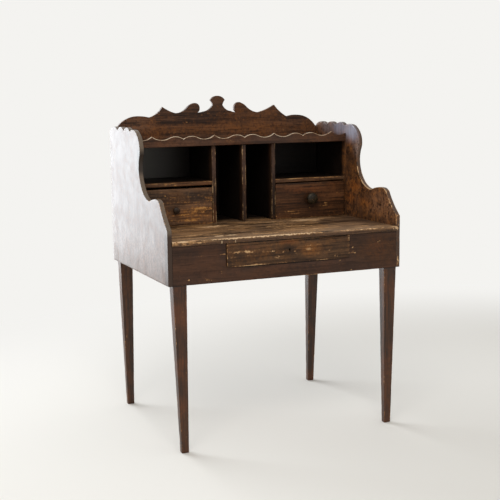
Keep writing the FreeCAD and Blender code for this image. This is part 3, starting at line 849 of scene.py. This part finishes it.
rightFrontLook = {
    "shift": (3, 8, 6),
    "dark": (46, 30, 20),
    "mid": (112, 74, 48),
    "warm": (138, 82, 42),
    "warmth": 0.6,
    "pale": (196, 152, 98),
    "edge": 0.4,
    "scuff": 0.04,
    "worn": [
        ((0.337, nestFace, 0.773), (0.018, 0.02, 0.016), 0.6),
        ((0.20, nestFace, 0.744), (0.08, 0.02, 0.014), 0.45),
    ],
    "tints": [
        ((0.25, nestFace, 0.83), (0.13, 0.05, 0.02), 0.6, (126, 70, 37)),
        # painted shadow round the knob
        ((0.266, nestFace, 0.79), (0.075, 0.05, 0.05), 0.92, (36, 25, 19)),
    ],
}
frontLook = {"grain": "X", "speckle": 0.4}
fronts = {                              # the look, and the share of the height whose edges are rubbed
    "main_drawer": (mainFrontLook, 1.0),
    "left_nest_drawer": (leftFrontLook, 0.12),
    "right_nest_drawer": (rightFrontLook, 0.12),
}
bareLook = {
    "grain": "Y",
    "shift": (2, 2, 2),
    "dark": (104, 76, 48),
    "mid": (150, 114, 76),
    "warm": (160, 118, 74),
    "edge": 0.2,
    "gloss": (0.6, 0.75),
}
boxWear = {"band": 0.0015, "round": 0.0005, "soft": 0.0003, "chip": 0.0003}
barePine = pineFinish("barePine", **bareLook)
for drawer, (look, rubbed) in fronts.items():
    front = f"{drawer}_front"
    finish = pineFinish(pieceName(front) + "Pine", **frontLook, **look)
    low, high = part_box(front)
    rubbedTop = low[2] + rubbed * (high[2] - low[2])
    wornBoard(front, finish, within=((-1, -1, 0), (1, 1, rubbedTop)))
    for part in ("side_left", "side_right", "back", "bottom"):
        wornBoard(f"{drawer}_{part}", barePine, **boxWear)
for part in ("runner", "guide", "drawer_stop"):
    for side in ("left", "right"):
        wornBoard(f"{part}_{side}", barePine, band=boxWear["band"])
print("drawers done")

# Lock
lockWear = {"step": 0.006, "band": 0.0008, "round": 0.0004, "soft": 0.0002, "chip": 0.0001}
lockIron = ironFinish("lockIron")
for node in ("lock_case", "lock_bolt"):
    wornBoard(node, lockIron, **lockWear)
print("lock done")

# Nails: hand-cut heads, a little proud of the boards that they hold
nailLook = {
    "head": 0.007,
    "brad": 0.0045,
    "crown": 0.6,                       # share of the width that is flat on top
    "proud": 0.0006,
    "sunk": 0.0014,
    "sides": 7,
}
across, upright = 0, 2                  # axes that the rows run along
backNails = {                           # into what stands before the back: axis of the row, nails
    "divider_left": (upright, 3),
    "divider_centre": (upright, 3),
    "divider_right": (upright, 3),
    "shelf_left": (across, 3),
    "shelf_right": (across, 3),
    "cabinet_top": (across, 7),
}
legNails = 2
galleryBrads = 7


def nailRow(bm, way, face, board, span, axis, count, width):
    # a row into the middle of a board, spread over a span, its heads forward or to the rear
    low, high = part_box(board)
    start, end = (corner[axis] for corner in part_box(span))
    at = (Vector(low) + Vector(high)) / 2
    at.y = face + way * (nailLook["proud"] - nailLook["sunk"]) / 2
    turn = Vector((0, 0, 1)).rotation_difference((0, way, 0)).to_matrix().to_4x4()
    for step in range(count):
        at[axis] = start + (end - start) * (step + 0.5) / count
        bmesh.ops.create_cone(bm, cap_ends=True, segments=nailLook["sides"], radius1=width / 2,
                              radius2=nailLook["crown"] * width / 2, matrix=Matrix.Translation(at) @ turn,
                              depth=nailLook["proud"] + nailLook["sunk"])


forward, rearward = -1, 1
nailBm = bmesh.new()
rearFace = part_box("back_board")[1][1]
for board, (axis, count) in backNails.items():
    nailRow(nailBm, rearward, rearFace, board, board, axis, count, nailLook["head"])
for leg in ("leg_front_left", "leg_front_right"):
    nailRow(nailBm, forward, apronFace, leg, "front_apron", upright, legNails, nailLook["head"])
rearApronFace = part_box("rear_apron")[1][1]
for leg in ("leg_back_left", "leg_back_right"):
    nailRow(nailBm, rearward, rearApronFace, leg, "rear_apron", upright, legNails, nailLook["head"])
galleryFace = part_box("gallery_rail")[0][1]
nailRow(nailBm, forward, galleryFace, "cabinet_top", "cabinet_top", across, galleryBrads, nailLook["brad"])
nailMesh = bpy.data.meshes.new("nailHeads")
nailBm.to_mesh(nailMesh)
nailBm.free()
addPiece("nailHeads", nailMesh, lockIron, "case", "lock_iron")
print("nails done")

# Turned knobs: sizes in shares of the diameter, a coved neck under a flattened ball
knobShape = {
    "neck": [(0.28, 0.0), (0.29, 0.04), (0.25, 0.09), (0.22, 0.16), (0.23, 0.23)],    # radius, distance out
    "ball": (0.5, 0.23),                # half width and half depth
    "middle": 0.48,
    "start": -62,                       # where the ball leaves the neck, in degrees
    "rings": 14,
    "tenon": 0.0054,                    # radius, in metres
    "turns": 40,
    "smooth": math.radians(50),
}
knobLook = {"grain": "Y", "gloss": (0.42, 0.52), "shine": 0.22, "relief": 0.15}
knobLooks = {
    "left": {"dark": (30, 23, 18), "mid": (56, 42, 31), "warm": (70, 50, 33)},
    "right": {"dark": (30, 25, 17), "mid": (62, 51, 34), "warm": (72, 56, 36)},
}


def knobProfile(diameter, tenonEnd):
    rim = [(0, tenonEnd), (knobShape["tenon"], tenonEnd), (knobShape["tenon"], 0)]
    rim += [(radius * diameter, -out * diameter) for radius, out in knobShape["neck"]]
    wide, deep = knobShape["ball"]
    for ring in range(knobShape["rings"] + 1):
        angle = math.radians(knobShape["start"] + (90 - knobShape["start"]) * ring / knobShape["rings"])
        out = knobShape["middle"] + deep * math.sin(angle)
        rim.append((wide * math.cos(angle) * diameter, -out * diameter))
    return rim


for side, look in knobLooks.items():
    node = f"{side}_knob"
    low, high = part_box(node)
    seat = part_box(f"{side}_nest_drawer_front")[0][1]
    middle = Vector(((low[0] + high[0]) / 2, seat, (low[2] + high[2]) / 2))
    bm = bmesh.new()
    rim = knobProfile(high[0] - low[0], high[1] - seat)
    verts = [bm.verts.new(middle + Vector((radius, deep, 0))) for radius, deep in rim]
    edges = [bm.edges.new(pair) for pair in zip(verts, verts[1:])]
    bmesh.ops.spin(bm, geom=verts + edges, cent=middle, axis=(0, 1, 0), angle=2 * math.pi,
                   steps=knobShape["turns"], use_merge=True)
    bmesh.ops.remove_doubles(bm, verts=bm.verts, dist=mergeGap)
    bmesh.ops.recalc_face_normals(bm, faces=bm.faces)
    mesh = bpy.data.meshes.new(pieceName(node))
    bm.to_mesh(mesh)
    bm.free()
    mesh.shade_smooth()
    mesh.set_sharp_from_angle(angle=knobShape["smooth"])
    finish = pineFinish(f"{side}KnobWood", **knobLook, **look)
    addPiece(pieceName(node), mesh, finish, bodyOf[node], slotOf[node], node)
print("knobs done")

# Floor, pale and plain, lost in the backdrop with distance
floorLook = {
    "reach": 12,
    "colour": (236, 234, 229),
    "backdrop": (244, 243, 240),
    "roughness": 0.8,
    "middle": (0.6, -1.2, 0),           # what lies near this stays floor
    "fade": (1.9, 3.4),                 # distances between which it is lost
}


def seenRays(tree):
    # 1 for what the camera, gloss and glass see
    path = addNode(tree, "ShaderNodeLightPath")
    rays = reckon(tree, "ADD", path.outputs["Is Camera Ray"], path.outputs["Is Glossy Ray"])
    rays = reckon(tree, "ADD", rays, path.outputs["Is Transmission Ray"])
    rays.node.use_clamp = True
    return rays


bm = bmesh.new()
bmesh.ops.create_grid(bm, x_segments=1, y_segments=1, size=floorLook["reach"])
floorMesh = bpy.data.meshes.new("floor")
bm.to_mesh(floorMesh)
bm.free()
floor = bpy.data.objects.new("floor", floorMesh)
bpy.context.scene.collection.objects.link(floor)
floorMaterial, floorTree, floorShader = newMaterial("floorPlaster")
floorShader.inputs["Base Color"].default_value = tone(*floorLook["colour"])
floorShader.inputs["Roughness"].default_value = floorLook["roughness"]
floorPlace = addNode(floorTree, "ShaderNodeTexCoord").outputs["Object"]
distance = vectorMath(floorTree, "DISTANCE", floorPlace, floorLook["middle"])["Value"]
fade = reckon(floorTree, "MULTIPLY", ease(floorTree, distance, *floorLook["fade"]), seenRays(floorTree))
glow = addNode(floorTree, "ShaderNodeEmission", {"Color": tone(*floorLook["backdrop"])})
mixed = {0: fade, 1: floorShader.outputs[0], 2: glow.outputs[0]}
floorMix = addNode(floorTree, "ShaderNodeMixShader", mixed)
floorTree.links.new(floorMix.outputs[0], floorTree.nodes["Material Output"].inputs["Surface"])
floorMesh.materials.append(floorMaterial)

# Light: a wide soft lamp behind and to the left, a fill in front, and a pale sky all round
skyLook = {"hue": (1.0, 0.985, 0.96), "strength": 0.56}
world = bpy.data.worlds.new("sky")
bpy.context.scene.world = world
world.use_nodes = True
skyTree = world.node_tree
sky = skyTree.nodes["Background"]
sky.inputs["Color"].default_value = (*skyLook["hue"], 1)
sky.inputs["Strength"].default_value = skyLook["strength"]
backdrop = addNode(skyTree, "ShaderNodeBackground", {"Color": tone(*floorLook["backdrop"])})
mixed = {0: seenRays(skyTree), 1: sky.outputs[0], 2: backdrop.outputs[0]}
choice = addNode(skyTree, "ShaderNodeMixShader", mixed)
skyTree.links.new(choice.outputs[0], skyTree.nodes["World Output"].inputs["Surface"])

lamps = {
    "window": {
        "at": (-1.75, 3.1, 1.75), "size": (3.2, 3.5), "radiance": 2.3, "spread": 100,
        "hue": (0.91, 0.955, 1.0), "aim": (-0.3, 0, 1.3)},
    "fill": {
        "at": (-1.3, -2.6, 3.6), "size": (2.4, 2.0), "radiance": 3.4, "spread": 180,
        "hue": (1.0, 0.97, 0.92), "aim": (0, 0, 0.7)},
}
for name, lamp in lamps.items():
    light = bpy.data.lights.new(name, "AREA")
    light.shape = "RECTANGLE"
    light.size, light.size_y = lamp["size"]
    # watts that give this radiance
    light.energy = lamp["radiance"] * math.pi * light.size * light.size_y
    light.color = lamp["hue"]
    light.spread = math.radians(lamp["spread"])
    holder = bpy.data.objects.new(name, light)
    holder.location = lamp["at"]
    holder.rotation_mode = "QUATERNION"
    holder.rotation_quaternion = (Vector(lamp["aim"]) - Vector(lamp["at"])).to_track_quat("-Z", "Y")
    holder.visible_camera = False
    bpy.context.scene.collection.objects.link(holder)
print("stage and light done")

# Camera at the photograph's place
cameraLook = {
    "at": (-1.5323, -3.5672, 1.2163),
    "pan": -0.4034,
    "tilt": -0.1516,
    "roll": -0.0123,
    "lens": 76.35,
    "sensor": 36,
}
pan, tilt, roll = cameraLook["pan"], cameraLook["tilt"], cameraLook["roll"]
lookAxis = Vector((-math.sin(pan) * math.cos(tilt), math.cos(pan) * math.cos(tilt), math.sin(tilt)))
right = Vector((math.cos(pan), math.sin(pan), 0))
up = right.cross(lookAxis)
acrossAxis = right * math.cos(roll) + up * math.sin(roll)
upAxis = up * math.cos(roll) - right * math.sin(roll)
turn = Matrix((acrossAxis, upAxis, -lookAxis)).transposed()
cameraData = bpy.data.cameras.new("camera")
cameraData.lens = cameraLook["lens"]
cameraData.sensor_width = cameraLook["sensor"]
camera = bpy.data.objects.new("camera", cameraData)
camera.matrix_world = Matrix.Translation(cameraLook["at"]) @ turn.to_4x4()
bpy.context.scene.collection.objects.link(camera)
bpy.context.scene.camera = camera
bpy.context.scene.view_settings.view_transform = "Standard"
